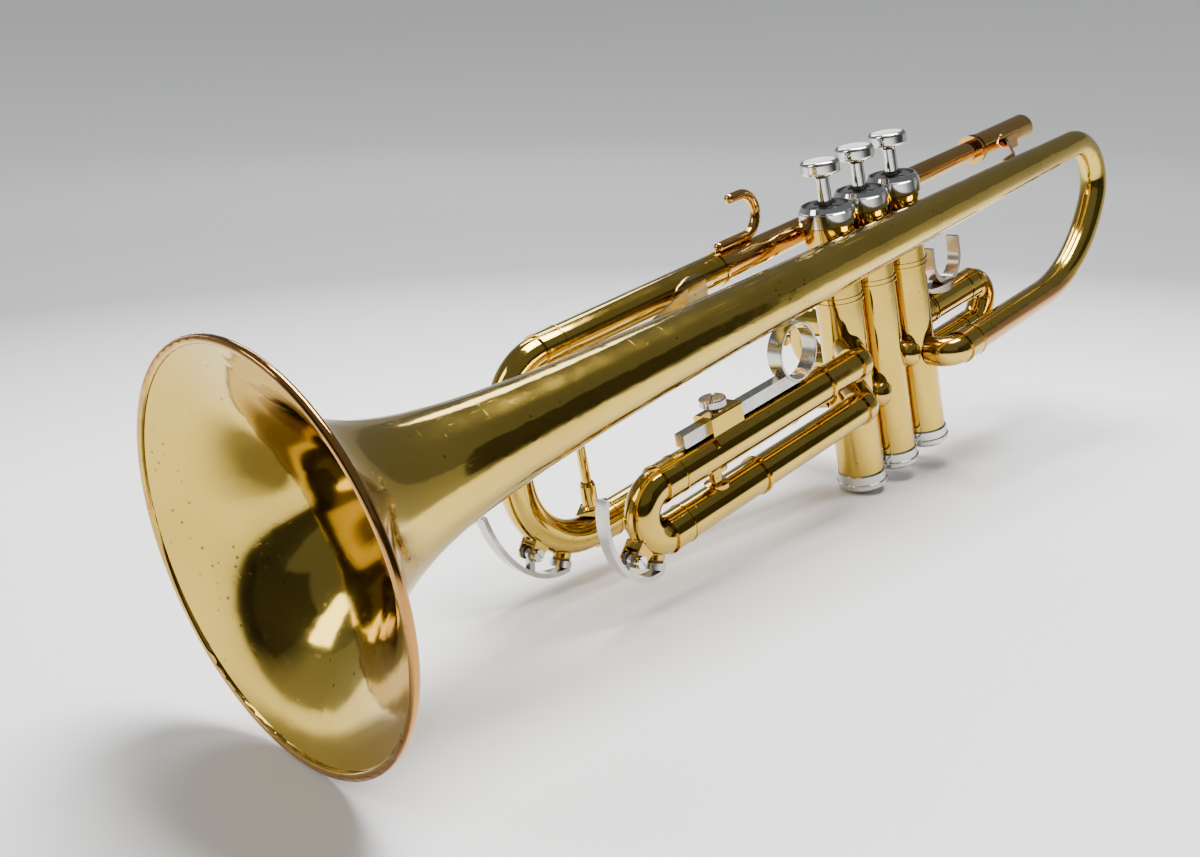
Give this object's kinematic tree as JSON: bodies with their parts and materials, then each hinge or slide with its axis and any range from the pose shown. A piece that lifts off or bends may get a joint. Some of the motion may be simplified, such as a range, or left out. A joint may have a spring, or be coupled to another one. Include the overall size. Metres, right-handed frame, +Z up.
{
  "type": "trumpet",
  "caption": "Piston-valve trumpet with flared bell, wrapped brass tubing, sprung pistons, sliding tuning bows, sprung water keys, finger ring and hook.",
  "frame": {"origin": "centre of the flat underside of the middle valve's bottom cap", "axes": "+X the way the bell points, +Y the player's left (the bell's side), +Z up along the valve stems"},
  "size_m": [0.4902, 0.1329, 0.1672],
  "materials": {
    "lacquered_brass": "clear lacquer over polished yellow brass, fine scratches and small dark pits",
    "bell_brass": "lacquered yellow brass, spun bell with long reflection bands",
    "rim_brass": "worn lacquer, coppery brown patina",
    "rose_brass": "lacquered rose brass, coppery",
    "nickel": "nickel plate, polished",
    "nickel_silver": "nickel silver, slightly dulled",
    "monel": "honed nickel alloy",
    "pearl": "pearl white inlay",
    "felt": "black wool felt",
    "cork": "natural cork",
    "spring_steel": "dark spring wire"
  },
  "bodies": {
    "horn": {"bell": "bell_brass", "rim_wire": "rim_brass", "casing_1": "lacquered_brass", "casing_2": "lacquered_brass", "casing_3": "lacquered_brass", "crossover_tubes": "lacquered_brass", "valve_knuckles": "lacquered_brass", "top_caps": "nickel", "bottom_caps": "nickel", "cap_felts": "felt", "valve_guides": "nickel_silver", "leadpipe": "rose_brass", "mouthpiece_receiver": "rose_brass", "tuning_outer_tubes": "lacquered_brass", "third_inner_tubes": "lacquered_brass", "first_inner_tubes": "lacquered_brass", "second_outer_tubes": "lacquered_brass", "front_brace": "lacquered_brass", "rear_brace": "rose_brass", "pinky_hook": "rose_brass"},
    "tuning_slide": {"tuning_bow": "lacquered_brass", "tuning_inner_tubes": "nickel_silver", "tuning_brace": "lacquered_brass", "tuning_key_bracket": "lacquered_brass", "tuning_key_screw": "nickel_silver", "tuning_key_spring": "spring_steel"},
    "tuning_key": {"tuning_key_lever": "nickel_silver", "tuning_key_cork": "cork"},
    "first_slide": {"first_bow": "lacquered_brass", "first_outer_tubes": "lacquered_brass", "thumb_saddle": "nickel_silver"},
    "second_slide": {"second_bow": "lacquered_brass", "second_pull_knob": "lacquered_brass"},
    "third_slide": {"third_bow": "lacquered_brass", "third_outer_tubes": "lacquered_brass", "third_slide_post": "lacquered_brass", "rod_block": "lacquered_brass", "third_key_bracket": "lacquered_brass", "third_key_screw": "nickel_silver", "third_key_spring": "spring_steel"},
    "third_key": {"third_key_lever": "nickel_silver", "third_key_cork": "cork"},
    "ring_rod": {"stop_rod": "nickel_silver", "finger_ring": "nickel_silver"},
    "clamp_screw": {"thumb_screw": "nickel_silver"},
    "valve_1": {"piston_1": "monel", "valve_stem_1": "nickel", "finger_button_1": "nickel", "button_pearl_1": "pearl", "valve_spring_1": "spring_steel"},
    "valve_2": {"piston_2": "monel", "valve_stem_2": "nickel", "finger_button_2": "nickel", "button_pearl_2": "pearl", "valve_spring_2": "spring_steel"},
    "valve_3": {"piston_3": "monel", "valve_stem_3": "nickel", "finger_button_3": "nickel", "button_pearl_3": "pearl", "valve_spring_3": "spring_steel"}
  },
  "joints": [
    {"name": "valve_1_press", "type": "slide", "parent": "horn", "child": "valve_1", "axis": [0, 0, -1], "range_m": [0, 0.016], "stiffness_N_per_m": 120, "springref_m": -0.012, "deforming": ["valve_spring_1"]},
    {"name": "valve_2_press", "type": "slide", "parent": "horn", "child": "valve_2", "axis": [0, 0, -1], "range_m": [0, 0.016], "stiffness_N_per_m": 120, "springref_m": -0.012, "deforming": ["valve_spring_2"]},
    {"name": "valve_3_press", "type": "slide", "parent": "horn", "child": "valve_3", "axis": [0, 0, -1], "range_m": [0, 0.016], "stiffness_N_per_m": 120, "springref_m": -0.012, "deforming": ["valve_spring_3"]},
    {"name": "tuning_slide_pull", "type": "slide", "parent": "horn", "child": "tuning_slide", "axis": [1, 0, 0], "range_m": [0, 0.025]},
    {"name": "tuning_key_open", "type": "hinge", "parent": "tuning_slide", "child": "tuning_key", "pos_m": [0.1942, -0.0182, 0.044], "axis": [0, -1, 0], "range_deg": [0, 14], "stiffness_Nm_per_rad": 0.02, "springref_deg": -20.05},
    {"name": "first_slide_pull", "type": "slide", "parent": "horn", "child": "first_slide", "axis": [-1, 0, 0], "range_m": [0, 0.015]},
    {"name": "second_slide_pull", "type": "slide", "parent": "horn", "child": "second_slide", "axis": [0, -1, 0], "range_m": [0, 0.01]},
    {"name": "third_slide_pull", "type": "slide", "parent": "horn", "child": "third_slide", "axis": [1, 0, 0], "range_m": [0, 0.02]},
    {"name": "third_key_open", "type": "hinge", "parent": "third_slide", "child": "third_key", "pos_m": [0.1814, 0.0184, 0.0438], "axis": [0, -1, 0], "range_deg": [0, 14], "stiffness_Nm_per_rad": 0.02, "springref_deg": -20.05},
    {"name": "ring_rod_shift", "type": "slide", "parent": "third_slide", "child": "ring_rod", "axis": [1, 0, 0], "range_m": [-0.006, 0.018]},
    {"name": "clamp_screw_turn", "type": "hinge", "parent": "third_slide", "child": "clamp_screw", "pos_m": [0.1305, 0.0184, 0.0794], "axis": [0, 0, 1], "range_deg": [-90, 90]}
  ]
}
